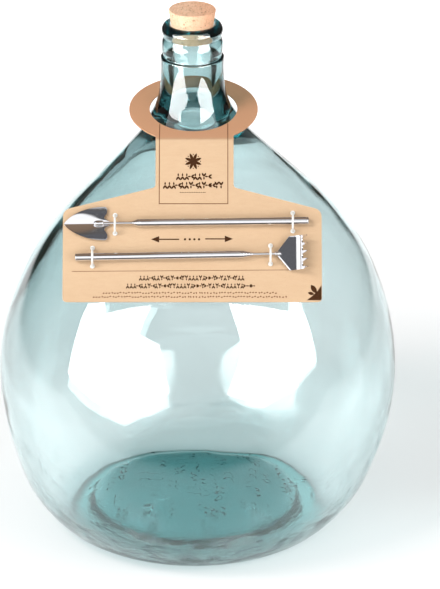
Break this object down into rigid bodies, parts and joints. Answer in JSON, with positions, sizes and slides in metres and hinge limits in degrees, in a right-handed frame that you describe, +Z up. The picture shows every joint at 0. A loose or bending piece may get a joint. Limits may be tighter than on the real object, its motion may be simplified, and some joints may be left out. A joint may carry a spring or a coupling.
{
  "type": "glass bottle terrarium starter set",
  "caption": "Large blown glass bottle with a tapered cork and a folded hang card round its neck that carries a telescopic trowel and a telescopic rake on plastic ties.",
  "frame": {"origin": "on the floor, under the middle of the bottle's widest ring", "axes": "+Z up along the bottle, -Y towards the front where the hang card leans on the shoulder, +X to the right as seen from the front"},
  "size_m": [0.38, 0.38, 0.5164],
  "materials": {
    "glass": "clear, pale aqua, hand blown",
    "cork": "natural cork, fine pores",
    "kraft_card": "matt kraft card with a dark brown line print",
    "clear_plastic": "milky, translucent",
    "chrome": "bright polished plating"
  },
  "bodies": {
    "root": {"glass_bottle": "glass", "cork_stopper": "cork", "hang_card": "kraft_card", "trowel_tie_head": "clear_plastic", "trowel_tie_grip": "clear_plastic", "rake_tie_head": "clear_plastic", "rake_tie_grip": "clear_plastic", "trowel_grip_tube": "chrome", "trowel_end_plug": "chrome", "rake_grip_tube": "chrome", "rake_end_plug": "chrome"},
    "trowel_first": {"trowel_section_1": "chrome"},
    "trowel_second": {"trowel_section_2": "chrome"},
    "trowel_third": {"trowel_section_3": "chrome"},
    "trowel_head": {"trowel_rod": "chrome", "trowel_blade": "chrome"},
    "rake_first": {"rake_section_1": "chrome"},
    "rake_second": {"rake_section_2": "chrome"},
    "rake_third": {"rake_section_3": "chrome"},
    "rake_tines": {"rake_rod": "chrome", "rake_head": "chrome"}
  },
  "joints": [
    {"name": "trowel_slide_1", "type": "slide", "parent": "root", "child": "trowel_first", "axis": [-0.9999, -0.007, -0.0096], "range_m": [0, 0.12127]},
    {"name": "trowel_slide_2", "type": "slide", "parent": "trowel_first", "child": "trowel_second", "axis": [-0.9999, -0.007, -0.0096], "range_m": [0, 0.12127]},
    {"name": "trowel_slide_3", "type": "slide", "parent": "trowel_second", "child": "trowel_third", "axis": [-0.9999, -0.007, -0.0096], "range_m": [0, 0.12127]},
    {"name": "trowel_slide_4", "type": "slide", "parent": "trowel_third", "child": "trowel_head", "axis": [-0.9999, -0.007, -0.0096], "range_m": [0, 0.12127]},
    {"name": "rake_slide_1", "type": "slide", "parent": "root", "child": "rake_first", "axis": [0.9998, 0.0106, 0.0146], "range_m": [0, 0.12425]},
    {"name": "rake_slide_2", "type": "slide", "parent": "rake_first", "child": "rake_second", "axis": [0.9998, 0.0106, 0.0146], "range_m": [0, 0.12425]},
    {"name": "rake_slide_3", "type": "slide", "parent": "rake_second", "child": "rake_third", "axis": [0.9998, 0.0106, 0.0146], "range_m": [0, 0.12425]},
    {"name": "rake_slide_4", "type": "slide", "parent": "rake_third", "child": "rake_tines", "axis": [0.9998, 0.0106, 0.0146], "range_m": [0, 0.12425]}
  ]
}
